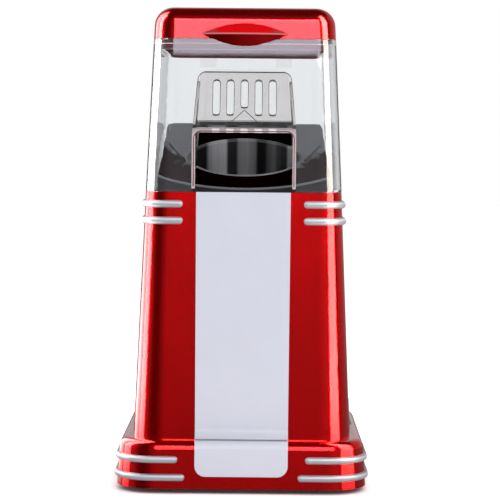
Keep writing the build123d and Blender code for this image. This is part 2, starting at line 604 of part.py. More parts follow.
hood &= hood_outline(SP_HW_OUT, SP_HW_TOP, SP_Z_TOP, 5.5, -90.0, -10.0)
# the front rim keeps its own rounded corners
rim_round = extrude(Plane.XZ.offset(58.0) * Pos(0, 150.0 + (SP_Z_RIM - 150.0) / 2) * RectangleRounded(2 * SP_HW_OUT, SP_Z_RIM - 150.0, 5.0), amount=40)
keep_back = box(-50, 50, -66.5, 0, 170, 262)
hood &= rim_round + keep_back
hood_in = yz_prism(hood_in_pts, -SP_HW_OUT + SP_WALL, SP_HW_OUT - SP_WALL)
hood_in &= hood_outline(SP_HW_OUT - SP_WALL, SP_HW_TOP - SP_WALL, SP_Z_TOP + 3.0, 3.4, -90.0, 0.0)
hood -= hood_in
# five vent slots through the leaning panel
for x, z0, z1 in ((-17.4, 230.8, 251.6), (-8.75, 230.8, 251.6), (0.0, 235.4, 251.6), (8.75, 230.8, 251.6), (17.4, 230.8, 251.6)):
    s = box(x - 2.1, x + 2.1, -70.0, -36.0, z0, z1)
    s = fillet(s.edges().filter_by(Axis.Y), 1.4)
    hood -= s
save("spout_hood", hood.solids().sort_by(SortBy.VOLUME)[-1])

# ---------------------------------------------------------------- lid
lid_env = taper(LD_BOT, LD_TOP, LD_BOT[3], LD_TOP[3])
lid_top_edges = lid_env.edges().filter_by(lambda e: abs(e.center().Z - LD_TOP[3]) < 0.01)
lid_env = fillet(lid_top_edges, LD_EDGE_R)
lid_in = taper(LD_BOT, LD_TOP, LD_BOT[3] - 1, LD_TOP[3] - LD_WALL, -LD_WALL)
lid_in = fillet(lid_in.edges().filter_by(lambda e: abs(e.center().Z - (LD_TOP[3] - LD_WALL)) < 0.01), LD_EDGE_R - LD_WALL)
lid = lid_env - lid_in
# brow-shaped finger pull: a double cone about an upright axis, cut by the lid's front face
PULL_R = 75.6
PULL_OUT = 4.6
face_y = -LD_BOT[1]
axis_y = face_y - PULL_OUT + PULL_R
prof = [(PULL_R - 10.0, 285.6 + 6.6), (PULL_R, 280.1), (PULL_R, 279.5), (PULL_R - 4.1, 272.5), (PULL_R - 10.0, 266.0)]
pf = make_face(Polyline(*[(r, 0, z) for r, z in prof], close=True))
pull = Pos(0, axis_y, 0) * revolve(pf, Axis.Z, 360)
keep = box(-30.0, 30.0, -80.0, face_y - 0.45, 266.0, 300.0) + box(-30.0, 30.0, -80.0, face_y + 1.2, 277.1, 300.0)
pull &= keep
lid += pull
# latch block behind the pull, part of the skirt line
# rear hinge barrel
barrel = xcyl(HG_R, -19.8, 19.8, HG_Y, HG_Z) + box(-19.8, 19.8, 64.9, HG_Y, HG_Z - 1.6, HG_Z + 1.6)
barrel -= xcyl(HG_PIN_R + 0.05, -40, 40, HG_Y, HG_Z)
lid += barrel - lid_in
save("lid_shell", lid.solids().sort_by(SortBy.VOLUME)[-1])

sk_out = extrude(section(SKIRT + (SKIRT_Z,)), amount=21.0)
sk_in = extrude(section((SKIRT[0] - 1.8, SKIRT[1] - 1.8, SKIRT[2] - 1.8, SKIRT_Z - 1)), amount=30.0)
liner = sk_out - sk_in
lid_gap = taper(LD_BOT, LD_TOP, LD_BOT[3] - 10, LD_TOP[3] - LD_WALL - 0.05, -LD_WALL - 0.05)
lid_gap = fillet(lid_gap.edges().filter_by(lambda e: abs(e.center().Z - (LD_TOP[3] - LD_WALL - 0.05)) < 0.01), LD_EDGE_R - LD_WALL)
liner &= lid_gap
# lid liner ceiling
liner += extrude(section((SKIRT[0] - 1.0, SKIRT[1] - 1.0, SKIRT[2] - 1.0, 284.0)), amount=1.6)
liner += box(-25.6, 25.6, -SKIRT[1] - 1.1, -SKIRT[1] + 1.0, SKIRT_Z + 0.8, 276.9)
save("lid_liner", liner.solids().sort_by(SortBy.VOLUME)[-1])

# hinge pin: headed steel rod through the ears and the lid's barrel
pin = xcyl(HG_PIN_R, -31.5, 31.8, HG_Y, HG_Z) + xcyl(2.4, -32.6, -31.1, HG_Y, HG_Z)
save("hinge_pin", pin)

# ---------------------------------------------------------------- inner wiring
def wire(points, r=0.9):
    path = Spline(*points)
    start = path @ 0
    tangent = path % 0
    return sweep(Plane(origin=start, z_dir=tangent) * Circle(r), path=path)


wires = [
    wire([(45.0, SW_Y + 0.8, 50.6), (52.0, -52.0, 72.0), (57.0, -38.0, 112.0), (52.4, -9.0, 141.5)]),
    wire([(45.0, SW_Y, 40.6), (53.5, -41.0, 30.0), (56.0, -18.0, 24.0), (56.0, 22.0, 22.0), (42.0, 58.0, 20.0), (1.5, 79.0, CORD_Z)]),
    wire([(-44.4, CH_Y + 1.0, 126.0), (-50.0, 18.0, 100.0), (-44.0, 50.0, 70.0), (-36.0, 56.0, 51.6)]),
]
save("wiring", group(wires))
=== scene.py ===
import json
import math

import bmesh
import bpy
from mathutils import Matrix, Vector


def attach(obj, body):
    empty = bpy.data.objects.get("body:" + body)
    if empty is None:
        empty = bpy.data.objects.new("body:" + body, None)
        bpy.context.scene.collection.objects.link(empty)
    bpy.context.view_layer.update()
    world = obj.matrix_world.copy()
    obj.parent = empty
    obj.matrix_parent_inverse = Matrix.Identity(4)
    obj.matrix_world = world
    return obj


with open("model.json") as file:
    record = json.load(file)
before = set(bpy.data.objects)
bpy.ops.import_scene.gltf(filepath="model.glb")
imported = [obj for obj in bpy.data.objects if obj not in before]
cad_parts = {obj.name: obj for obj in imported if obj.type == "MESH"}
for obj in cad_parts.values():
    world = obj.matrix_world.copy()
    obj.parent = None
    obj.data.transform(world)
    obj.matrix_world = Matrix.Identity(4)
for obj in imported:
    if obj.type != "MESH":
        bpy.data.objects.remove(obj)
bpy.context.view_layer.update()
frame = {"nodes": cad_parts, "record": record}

nodes = frame["nodes"]
scene = bpy.context.scene
collection = scene.collection


# ------------------------------------------------------------------ node helpers
class Graph:
    """A material's or world's node tree, with short calls for the nodes used here."""

    def __init__(self, tree):
        self.t = tree
        self.t.nodes.clear()

    def node(self, kind, **values):
        n = self.t.nodes.new(kind)
        for key, value in values.items():
            setattr(n, key, value)
        return n

    def put(self, socket, value):
        if isinstance(value, bpy.types.NodeSocket):
            self.t.links.new(value, socket)
        else:
            socket.default_value = value

    def math(self, op, a, b=0.0, c=0.0, clamp=False):
        n = self.node("ShaderNodeMath", operation=op, use_clamp=clamp)
        for i, v in enumerate((a, b, c)):
            self.put(n.inputs[i], v)
        return n.outputs[0]

    def step(self, x, lo, hi, a=0.0, b=1.0, kind="SMOOTHSTEP"):
        n = self.node("ShaderNodeMapRange", interpolation_type=kind, clamp=True)
        for i, v in enumerate((x, lo, hi, a, b)):
            self.put(n.inputs[i], v)
        return n.outputs[0]

    def mul(self, a, b):
        return self.math("MULTIPLY", a, b)

    def add(self, a, b):
        return self.math("ADD", a, b)

    def mix(self, fac, a, b):
        n = self.node("ShaderNodeMix", data_type="RGBA")
        self.put(n.inputs[0], fac)
        self.put(n.inputs[6], a)
        self.put(n.inputs[7], b)
        return n.outputs[2]

    def mix_value(self, fac, a, b):
        n = self.node("ShaderNodeMix", data_type="FLOAT")
        for i, v in zip((0, 2, 3), (fac, a, b)):
            self.put(n.inputs[i], v)
        return n.outputs[0]

    def noise(self, co, scale, detail=3.0, rough=0.5, distortion=0.0):
        n = self.node("ShaderNodeTexNoise")
        self.put(n.inputs["Vector"], co)
        n.inputs["Scale"].default_value = scale
        n.inputs["Detail"].default_value = detail
        n.inputs["Roughness"].default_value = rough
        n.inputs["Distortion"].default_value = distortion
        return n.outputs["Fac"]

    def cells(self, co, scale, feature="F1"):
        n = self.node("ShaderNodeTexVoronoi", feature=feature)
        self.put(n.inputs["Vector"], co)
        n.inputs["Scale"].default_value = scale
        return n

    def coords(self):
        return self.node("ShaderNodeTexCoord").outputs["Object"]

    def stretch(self, co, x, y, z):
        n = self.node("ShaderNodeVectorMath", operation="MULTIPLY")
        self.put(n.inputs[0], co)
        n.inputs[1].default_value = (x, y, z)
        return n.outputs[0]

    def split(self, co):
        n = self.node("ShaderNodeSeparateXYZ")
        self.put(n.inputs[0], co)
        return n.outputs

    def bump(self, height, strength, distance, normal=None):
        n = self.node("ShaderNodeBump")
        n.inputs["Strength"].default_value = strength
        n.inputs["Distance"].default_value = distance
        self.put(n.inputs["Height"], height)
        if normal is not None:
            self.put(n.inputs["Normal"], normal)
        return n.outputs[0]


def material(name):
    m = bpy.data.materials.new(name)
    m.use_nodes = True
    g = Graph(m.node_tree)
    out = g.node("ShaderNodeOutputMaterial")
    return m, g, out


def principled(g, out, **values):
    p = g.node("ShaderNodeBsdfPrincipled")
    for key, value in values.items():
        g.put(p.inputs[key], value)
    g.t.links.new(p.outputs[0], out.inputs[0])
    return p


def ramp(g, value, stops):
    """Piecewise-linear function of value through (x, y) stops."""
    lo, hi = stops[0][0], stops[-1][0]
    top = max(s[1] for s in stops) or 1.0
    n = g.node("ShaderNodeValToRGB")
    n.color_ramp.interpolation = "LINEAR"
    elements = n.color_ramp.elements
    while len(elements) > 1:
        elements.remove(elements[-1])
    first = True
    for sx, sy in stops:
        pos = (sx - lo) / (hi - lo)
        if first:
            e = elements[0]
            e.position = pos
            first = False
        else:
            e = elements.new(pos)
        v = sy / top
        e.color = (v, v, v, 1)
    g.put(n.inputs[0], g.step(value, lo, hi, 0.0, 1.0, "LINEAR"))
    return g.mul(n.outputs[0], top)


# ------------------------------------------------------------------ red lacquer
def red_lacquer(name, deep=1.0, coat=0.3, pull=False, ledge=False):
    m, g, out = material(name)
    co = g.coords()
    flake = g.cells(co, 5200.0)
    fleck = g.step(g.split(flake.outputs["Color"])[0], 0.0, 1.0, 0.88, 1.10, "LINEAR")
    cloud = g.noise(co, 22.0, 3.0)
    shade = g.mul(fleck, g.step(cloud, 0.3, 0.7, 0.97, 1.03))
    tint = g.node("ShaderNodeVectorMath", operation="SCALE")
    tint.inputs[0].default_value = (0.83 * deep, 0.0002, 0.0014)
    g.put(tint.inputs["Scale"], shade)
    smear = g.noise(g.stretch(co, 1.0, 1.0, 0.35), 34.0, 4.0, 0.6)
    rough = g.step(smear, 0.3, 0.75, 0.105, 0.145)
    peel = g.noise(co, 620.0, 2.0, 0.4)
    wave = g.noise(co, 38.0, 1.0, 0.3)
    n = g.bump(peel, 0.022, 0.0004, g.bump(wave, 0.03, 0.0008))
    flaken = g.bump(g.split(flake.outputs["Color"])[1], 0.05, 0.00004, n)
    p = principled(g, out)
    colour, metallic = tint.outputs[0], 0.94
    if pull:
        # on the pull, the upper face is painted a brighter red, pinker towards its ends, as a painted reflection of the
        # lid's front, and a thin band along its edge is painted pale pink as a painted highlight
        x, y, z = g.split(co)[0:3]
        proud = g.step(g.math("SUBTRACT", g.add(y, 0.0672), g.mul(g.math("SUBTRACT", z, 0.277), 0.052)), -0.0001, -0.0003)
        top = g.mul(proud, g.step(z, 0.2800, 0.2802))
        centre = g.step(g.math("ABSOLUTE", x), 0.0205, 0.0150)
        face = g.mix(centre, (0.30, 0.03, 0.035, 1), (0.52, 0.0006, 0.002, 1))
        # painted highlight: a thin pale pink band along the pull's edge
        painted_highlight_lip = g.mul(proud, g.mul(g.step(z, 0.27925, 0.2794), g.step(z, 0.28035, 0.2802)))
        colour = g.mix(painted_highlight_lip, g.mix(top, colour, face), (0.42, 0.13, 0.14, 1))
        metallic = g.mix_value(g.math("MAXIMUM", top, painted_highlight_lip), 0.94, 0.05)
    g.put(p.inputs["Base Color"], colour)
    g.put(p.inputs["Metallic"], metallic)
    g.put(p.inputs["Roughness"], rough)
    if ledge:
        # the shoulder of the plinth has a heavier film of clear coat
        z = g.split(co)[2]
        g.put(p.inputs["Coat Weight"], g.step(z, 0.0308, 0.0316, coat, 1.0))
    else:
        p.inputs["Coat Weight"].default_value = coat
    p.inputs["Coat Roughness"].default_value = 0.02
    p.inputs["Coat IOR"].default_value = 1.5
    p.inputs["Specular IOR Level"].default_value = 0.15
    g.put(p.inputs["Normal"], flaken)
    g.put(p.inputs["Coat Normal"], n)
    return m


# ------------------------------------------------------------------ gloss and matt plastics
def plastic(name, color, rough=(0.25, 0.32), grain=900.0, grain_height=0.05, vary=0.04, coat=0.0, spec=0.5, wave=0.02):
    m, g, out = material(name)
    co = g.coords()
    cloud = g.noise(co, 26.0, 4.0, 0.6)
    lo = [c * (1 - vary) for c in color] + [1]
    hi = [min(1, c * (1 + vary)) for c in color] + [1]
    base = g.mix(g.step(cloud, 0.3, 0.7), lo, hi)
    fine = g.noise(co, grain, 3.0, 0.6)
    r = g.step(g.noise(co, 60.0, 5.0, 0.65), 0.3, 0.7, rough[0], rough[1])
    n = g.bump(fine, grain_height, 0.0003, g.bump(g.noise(co, 40.0, 1.0), wave, 0.001))
    p = principled(g, out, Roughness=r, Normal=n)
    g.put(p.inputs["Base Color"], base)
    p.inputs["Coat Weight"].default_value = coat
    p.inputs["Coat Roughness"].default_value = 0.03
    p.inputs["Specular IOR Level"].default_value = spec
    return m


def satin_bar():
    m, g, out = material("satin_silver")
    co = g.coords()
    up = g.split(g.node("ShaderNodeNewGeometry").outputs["Normal"])[2]
    lines = g.noise(g.stretch(co, 1.0, 1.0, 6.0), 480.0, 3.0, 0.7)
    # painted shading: the colour is made lighter or darker by which way the surface faces, brightest a little above the
    # middle and darkest at the top edge and on the underside
    painted_shading = ramp(g, up, [(-1.0, 0.30), (-0.8, 0.44), (-0.5, 0.66), (-0.2, 0.62), (0.1, 0.66), (0.35, 1.05), (0.6, 0.84), (0.8, 0.46), (1.0, 0.30)])
    tone = g.mul(painted_shading, g.step(lines, 0.25, 0.75, 0.95, 1.03))
    tint = g.node("ShaderNodeVectorMath", operation="SCALE")
    tint.inputs[0].default_value = (0.44, 0.455, 0.495)
    g.put(tint.inputs["Scale"], tone)
    p = principled(g, out, Roughness=g.step(lines, 0.3, 0.7, 0.40, 0.48), Normal=g.bump(lines, 0.05, 0.0002))
    g.put(p.inputs["Base Color"], tint.outputs[0])
    p.inputs["Metallic"].default_value = 0.15
    p.inputs["Specular IOR Level"].default_value = 0.3
    return m


def metal(name, color, rough=(0.2, 0.3), brush=(1.0, 1.0, 1.0), brush_scale=400.0, height=0.06, metallic=1.0, vary=0.06):
    m, g, out = material(name)
    co = g.coords()
    lines = g.noise(g.stretch(co, *brush), brush_scale, 3.0, 0.7)
    cloud = g.noise(co, 30.0, 4.0, 0.6)
    lo = [c * (1 - vary) for c in color] + [1]
    hi = [min(1, c * (1 + vary)) for c in color] + [1]
    base = g.mix(g.mul(g.step(cloud, 0.25, 0.75), g.step(lines, 0.2, 0.8, 0.6, 1.0)), lo, hi)
    r = g.add(g.step(lines, 0.3, 0.7, rough[0], rough[1]), g.step(cloud, 0.4, 0.8, 0.0, 0.03))
    n = g.bump(lines, height, 0.0002)
    p = principled(g, out, Roughness=r, Normal=n)
    g.put(p.inputs["Base Color"], base)
    p.inputs["Metallic"].default_value = metallic
    return m


# ------------------------------------------------------------------ clear plastic
def clear_plastic(name, tint=(0.972, 0.978, 0.982), ior=1.49, rough=0.0, wave=0.012):
    m, g, out = material(name)
    co = g.coords()
    flow = g.noise(g.stretch(co, 1.0, 1.0, 0.4), 18.0, 2.0, 0.45)
    n = g.bump(flow, wave, 0.002)
    color = g.mix(g.step(g.noise(co, 12.0, 2.0), 0.3, 0.7), (*[t * 0.992 for t in tint], 1), (*tint, 1))
    glass = g.node("ShaderNodeBsdfGlass")
    g.put(glass.inputs["Color"], color)
    glass.inputs["IOR"].default_value = ior
    if rough > 0:
        g.put(glass.inputs["Roughness"], g.step(g.noise(co, 90.0, 5.0, 0.7), 0.35, 0.75, rough * 0.4, rough))
    else:
        g.put(glass.inputs["Roughness"], g.step(g.noise(co, 140.0, 6.0, 0.75), 0.62, 0.85, 0.0, 0.03))
    g.put(glass.inputs["Normal"], n)
    see = g.node("ShaderNodeBsdfTransparent")
    see.inputs[0].default_value = (0.9, 0.91, 0.92, 1)
    path = g.node("ShaderNodeLightPath")
    mix = g.node("ShaderNodeMixShader")
    g.put(mix.inputs[0], path.outputs["Is Shadow Ray"])
    g.put(mix.inputs[1], glass.outputs[0])
    g.put(mix.inputs[2], see.outputs[0])
    g.t.links.new(mix.outputs[0], out.inputs[0])
    return m


def deck_black():
    m, g, out = material("black_deck")
    co = g.coords()
    x, y, z = g.split(co)[0:3]
    ax = g.math("ABSOLUTE", x)
    # painted shade: a centre strip is near black, rough and unreflective where the hood and lid would show in the deck
    painted_dark_centre = g.step(ax, 0.0318, 0.0306)
    wander = g.mul(g.math("SUBTRACT", g.noise(g.stretch(co, 1.0, 0.6, 1.0), 70.0, 4.0, 0.6, 1.2), 0.5), 0.075)
    edge = g.add(g.add(0.004, g.mul(g.math("SUBTRACT", ax, 0.045), 1.9)), wander)
    # painted shade: in front of a wandering V-shaped line the deck is reddish black with its reflection turned off;
    # behind it a blue-grey tint is a painted reflection
    low = g.step(g.math("SUBTRACT", y, edge), 0.009, -0.009)
    cloud = g.noise(g.stretch(co, 1.0, 0.5, 1.0), 30.0, 4.0, 0.6)
    base = g.mix(painted_dark_centre, g.mix(low, g.mix(g.step(cloud, 0.3, 0.7), (0.008, 0.009, 0.020, 1), (0.026, 0.029, 0.052, 1)), (0.010, 0.0015, 0.003, 1)), (0.0022, 0.0004, 0.0004, 1))
    n = g.bump(g.noise(co, 55.0, 2.0, 0.5), 0.05, 0.002, g.bump(g.noise(co, 900.0, 2.0), 0.015, 0.0003))
    ry = g.math("SUBTRACT", y, 0.016)
    reach = g.math("SQRT", g.add(g.mul(x, x), g.mul(ry, ry)))
    front = g.step(y, -0.010, -0.014)
    face = g.mul(front, g.step(reach, 0.0770, 0.0776))
    # painted highlight: a pale grey line along the top edge of the deck's curved front lip
    on_top = g.step(g.math("SUBTRACT", z, g.add(0.20505, g.mul(y, 0.323))), -0.0010, -0.0005)
    painted_highlight_line = g.mul(front, g.mul(g.step(reach, 0.0757, 0.0766), on_top))
    base = g.mix(painted_highlight_line, g.mix(face, base, (0.030, 0.031, 0.034, 1)), (0.15, 0.155, 0.17, 1))
    p = principled(g, out, Normal=n)
    g.put(p.inputs["Base Color"], base)
    g.put(p.inputs["Roughness"], g.mix_value(painted_dark_centre, g.step(g.noise(co, 70.0, 5.0, 0.7), 0.3, 0.75, 0.03, 0.12), 0.6))
    g.put(p.inputs["Specular IOR Level"], g.mul(g.mul(g.step(low, 0.0, 1.0, 0.42, 0.0, "LINEAR"), g.step(painted_dark_centre, 0.0, 1.0, 1.0, 0.0, "LINEAR")), g.step(face, 0.0, 1.0, 1.0, 0.25, "LINEAR")))
    return m


def spun_chamber():
    m, g, out = material("chamber_metal")
    co = g.coords()
    x, y, z = g.split(co)[0:3]
    turn = g.math("ARCTAN2", x, g.add(y, 0.0026))
    # painted reflections: light and dark upright bands, set by the angle round the chamber's axis, stand for the
    # reflected studio lights
    painted_reflection_bands = ramp(g, g.math("DEGREES", turn), [
        (-180, 0.16), (-120, 0.10), (-75, 0.02), (-46, 0.010), (-41, 0.24), (-36, 0.30), (-21, 0.34), (-18.5, 0.02), (-9, 0.014), (-7, 0.15),
        (2, 0.20), (11, 0.13), (13.5, 0.006), (22, 0.008), (25, 0.05), (33, 0.10), (37, 0.05), (42, 0.03), (50, 0.02), (54, 0.30), (62, 0.26), (72, 0.03),
        (110, 0.05), (150, 0.2), (180, 0.16)])
    below = g.math("SUBTRACT", z, g.add(0.20505, g.mul(y, 0.323)))
    # painted highlight: a lighter band along the chamber's top rim
    rim = g.step(below, -0.0016, -0.0008)
    streak = g.noise(g.stretch(co, 1.0, 1.0, 0.06), 420.0, 3.0, 0.6)
    tone = g.mul(g.add(painted_reflection_bands, g.mul(rim, 0.07)), g.step(streak, 0.2, 0.8, 0.92, 1.08))
    tint = g.node("ShaderNodeVectorMath", operation="SCALE")
    tint.inputs[0].default_value = (0.93, 0.94, 1.0)
    g.put(tint.inputs["Scale"], tone)
    p = principled(g, out, Normal=g.bump(streak, 0.01, 0.0003))
    g.put(p.inputs["Base Color"], tint.outputs[0])
    p.inputs["Specular IOR Level"].default_value = 0.0
    p.inputs["Metallic"].default_value = 0.15
    g.put(p.inputs["Roughness"], g.step(streak, 0.3, 0.7, 0.30, 0.36))
    return m


def hood_rim():
    """The hood's front rim: the red of the body shows in it as a painted reflection, broken by five pale spots of
    painted light below the vents.
    """
    m, g, out = material("hood_rim")
    co = g.coords()
    x, y, z = g.split(co)[0:3]
    # painted light: five pale spots on the rim below the vents
    painted_light_spots = 0.0
    for cx in (-0.0174, -0.00875, 0.0, 0.00875, 0.0174):
        one = g.step(g.math("ABSOLUTE", g.math("SUBTRACT", x, cx)), 0.0026, 0.0019)
        painted_light_spots = g.math("MAXIMUM", painted_light_spots, one)
    painted_light_spots = g.mul(painted_light_spots, g.step(z, 0.2188, 0.2192))
    # painted reflection: the maroon tones stand for the body's red seen in the clear rim
    cloud = g.noise(co, 160.0, 3.0)
    tone = g.mix(g.step(cloud, 0.35, 0.65), (0.075, 0.006, 0.016, 1), (0.15, 0.018, 0.035, 1))
    base = g.mix(painted_light_spots, g.mix(0.12, (0.40, 0.37, 0.38, 1), tone), (0.72, 0.70, 0.70, 1))
    p = principled(g, out, Roughness=g.step(cloud, 0.3, 0.7, 0.12, 0.2), Normal=g.bump(cloud, 0.05, 0.0005))
    g.put(p.inputs["Base Color"], base)
    return m


MATERIALS = {
    "red_gloss": red_lacquer("red_lacquer"),
    "liner_red": plastic("red_liner", (0.085, 0.002, 0.010), (0.06, 0.12), 700.0, 0.02, 0.08, coat=0.4),
    "white_gloss": plastic("white_panel", (0.455, 0.467, 0.532), (0.30, 0.38), 700.0, 0.02, 0.015, coat=0.0, spec=0.25),
    "satin_silver": satin_bar(),
    "clear": clear_plastic("clear_wall", (0.955, 0.961, 0.966)),
    "wall_edge": clear_plastic("clear_wall_edge", (0.46, 0.475, 0.49)),
    "hood": clear_plastic("clear_hood", (0.905, 0.888, 0.888), ior=1.22, wave=0.10),
    # a dark red tint for the hood's clear edges: painted shade and painted reflection of the red body
    "hood_edge": clear_plastic("clear_hood_edge", (0.30, 0.20, 0.22)),
    # an opaque pale grey for beads on the clear hood and tower: painted highlight lines
    "hood_side": plastic("hood_side", (0.50, 0.485, 0.485), (0.10, 0.2), 600.0, 0.03, 0.05, coat=0.3),
    "hood_bead": clear_plastic("clear_hood_bead", (0.62, 0.57, 0.59), ior=1.3),
    "hood_rim": hood_rim(),
    # a dark red tint for the vents' ends: painted reflection of the red body at their heads and painted shadow at their
    # feet
    "vent_end": clear_plastic("clear_vent_end", (0.34, 0.10, 0.13), ior=1.4),
    # an opaque maroon for the hood's rim: a painted reflection of the body's red in the clear rim
    "rim_painted_red": plastic("hood_rim_painted_red", (0.11, 0.010, 0.024), (0.08, 0.16), 500.0, 0.03, 0.3, coat=0.3),
    "lid": red_lacquer("red_lacquer_lid", 1.0, 0.55, pull=True),
    "plinth": red_lacquer("red_lacquer_plinth", 1.0, 0.3, ledge=True),
    "black_gloss": deck_black(),
    "chamber_metal": spun_chamber(),
    "sheet_steel": metal("sheet_steel", (0.58, 0.58, 0.59), (0.25, 0.4), (1.0, 1.0, 18.0), 350.0, 0.08),
    "black_matte": plastic("black_textured", (0.022, 0.022, 0.024), (0.42, 0.56), 1400.0, 0.22, 0.12),
    "black_rubber": plastic("black_rubber", (0.020, 0.020, 0.021), (0.6, 0.78), 1100.0, 0.25, 0.15, spec=0.3),
    "steel": metal("turned_steel", (0.62, 0.62, 0.63), (0.14, 0.24), (1.0, 25.0, 25.0), 300.0, 0.08),
    "zinc_screw": metal("zinc_screw", (0.60, 0.61, 0.64), (0.2, 0.34), (1.0, 1.0, 8.0), 600.0, 0.08),
    "mica": plastic("mica", (0.52, 0.42, 0.28), (0.35, 0.6), 500.0, 0.2, 0.25),
    "heater_wire": metal("heater_wire", (0.36, 0.31, 0.28), (0.3, 0.5), (1.0, 1.0, 1.0), 900.0, 0.15, vary=0.25),
    "ferrite": plastic("ferrite", (0.06, 0.06, 0.065), (0.5, 0.65), 1300.0, 0.25, 0.2),
    "copper": metal("copper_winding", (0.62, 0.30, 0.14), (0.22, 0.36), (1.0, 1.0, 40.0), 300.0, 0.3, vary=0.15),
    "bronze": metal("bronze", (0.58, 0.42, 0.20), (0.3, 0.42), (1.0, 1.0, 1.0), 800.0, 0.12, vary=0.1),
    "board_green": plastic("board_green", (0.03, 0.16, 0.08), (0.3, 0.45), 900.0, 0.15, 0.2),
    "diode_black": plastic("diode_black", (0.02, 0.02, 0.02), (0.28, 0.4), 900.0, 0.1, 0.1),
    "ceramic": plastic("ceramic", (0.72, 0.69, 0.62), (0.35, 0.5), 1000.0, 0.12, 0.08),
    "wire_white": plastic("wire_sleeve", (0.72, 0.72, 0.68), (0.5, 0.65), 1500.0, 0.3, 0.08),
    "nylon_natural": plastic("nylon", (0.68, 0.66, 0.58), (0.35, 0.48), 900.0, 0.08, 0.06),
}
slot_of = {s["node"]: s["material_slot"] for s in frame["record"]["subparts"]}
own = {"lid_shell": "lid", "spout_hood": "hood", "plinth_shell": "plinth"}
for name, obj in nodes.items():
    mat = MATERIALS[own.get(name, slot_of[name])]
    if not obj.data.materials:
        obj.data.materials.append(mat)
    for i in range(len(obj.material_slots)):
        obj.material_slots[i].material = mat

# the hood's front rim, its top edge and the ends of its vents have their own materials: a painted reflection of the
# body's red in the rim, and a dark red tint on the top edge and the vent ends as painted shade and painted reflection
# of the red body
hood = nodes["spout_hood"].data
hood.materials.append(MATERIALS["hood_edge"])
hood.materials.append(MATERIALS["hood_rim"])
SLOTS = (-0.0174, -0.00875, 0.0, 0.00875, 0.0174)
for poly in hood.polygons:
    c, n = poly.center, poly.normal
    if n.y < -0.95 and c.y < -0.0655:
        poly.material_index = 2
    elif n.z > 0.6 and c.z > 0.2555:
        poly.material_index = 1
    elif -0.062 < c.y and 0.229 < c.z < 0.2525 and abs(n.z) > 0.55 and abs(n.y) < 0.4 and min(abs(c.x - v) for v in SLOTS) < 0.0022:
        poly.material_index = 1

# the cut edges of the clear tower are tinted darker than its faces: painted shade
walls = nodes["clear_tower"].data
walls.materials.append(MATERIALS["wall_edge"])
for poly in walls.polygons:
    if abs(poly.normal.z) > 0.9:
        poly.material_index = len(walls.materials) - 1


def tube(name, points, radius, sides=8, closed=False):
    """A round bead along points, as one closed mesh."""
    bm = bmesh.new()
    pts = [Vector(p) for p in points]
    rings = []
    for i, p in enumerate(pts):
        a = pts[i - 1] if (i or closed) else p
        b = pts[(i + 1) % len(pts)] if (i + 1 < len(pts) or closed) else p
        t = (b - a).normalized()
        u = t.orthogonal().normalized() if not rings else (last - t * last.dot(t)).normalized()
        last = u
        v = t.cross(u)
        rings.append([bm.verts.new(p + (u * math.cos(2 * math.pi * k / sides) + v * math.sin(2 * math.pi * k / sides)) * radius) for k in range(sides)])
    pairs = list(zip(rings, rings[1:]))
    for r0, r1 in pairs:
        for k in range(sides):
            bm.faces.new((r0[k], r0[(k + 1) % sides], r1[(k + 1) % sides], r1[k]))
    if not closed:
        bm.faces.new(rings[0][::-1])
        bm.faces.new(rings[-1])
    bmesh.ops.recalc_face_normals(bm, faces=bm.faces)
    me = bpy.data.meshes.new(name)
    bm.to_mesh(me)
    bm.free()
    for f in me.polygons:
        f.use_smooth = True
    o = bpy.data.objects.new(name, me)
    collection.objects.link(o)
    return o


HOOD_FACE = [(-0.0665, 0.2220), (-0.0655, 0.2222), (-0.0623, 0.2240), (-0.0600, 0.2270), (-0.0400, 0.2580)]


def on_hood(x, z, out=0.0):
    for (y0, z0), (y1, z1) in zip(HOOD_FACE, HOOD_FACE[1:]):
        if z <= z1:
            t = (z - z0) / (z1 - z0)
            return (x, y0 + (y1 - y0) * t - out, z)
    return (x, HOOD_FACE[-1][0] - out, z)


def hood_line(name, a, b, radius, count=14):
    pts = [on_hood(a[0] + (b[0] - a[0]) * i / count, a[1] + (b[1] - a[1]) * i / count) for i in range(count + 1)]
    o = tube(name, pts, radius)
    o.data.materials.append(MATERIALS["hood_edge"])
    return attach(o, "tower")


def loop_points(cx, z0, z1, hw, r, count=5):
    """A rounded upright outline on the leaning panel, as (x, z)."""
    pts = []
    for qx, qz, a0 in ((cx + hw - r, z1 - r, 0), (cx - hw + r, z1 - r, 90), (cx - hw + r, z0 + r, 180), (cx + hw - r, z0 + r, 270)):
        for i in range(count + 1):
            a = math.radians(a0 + 90 * i / count)
            pts.append((qx + r * math.cos(a), qz + r * math.sin(a)))
    return pts


def bead(name, flat, radius, mat, closed=False, out=0.0):
    o = tube(name, [on_hood(x, z, out) for x, z in flat], radius, closed=closed)
    o.data.materials.append(MATERIALS[mat])
    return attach(o, "tower")


# moulded beads round the five vents, heavier at their ends, and along the panel's outline; the heavier beads at the
# vents' ends are tinted dark red, a painted reflection of the red body at their heads and a painted shadow at their
# feet
for i, cx in enumerate(SLOTS):
    z0, z1 = (0.2354 if i == 2 else 0.2308), 0.2516
    ring = loop_points(cx, z0 - 0.0002, z1 + 0.0002, 0.0023, 0.0016)
    bead(f"vent_bead_{i}", ring + ring[:1], 0.00020, "hood_bead")
    low = [(cx - 0.0021 + 0.0042 * k / 8, z0 - 0.0003 - 0.0004 * math.sin(math.pi * k / 8)) for k in range(9)]
    bead(f"vent_foot_{i}", low, 0.00030, "vent_end")
    high = [(cx + 0.0019 * math.cos(math.pi * k / 10), z1 - 0.0006 + 0.0015 * math.sin(math.pi * k / 10)) for k in range(11)]
    bead(f"vent_head_{i}", high, 0.00030, "vent_end")
side = [(0.0310, 0.2275), (0.0306, 0.2330), (0.0301, 0.2400), (0.0296, 0.2470), (0.0292, 0.2515)]
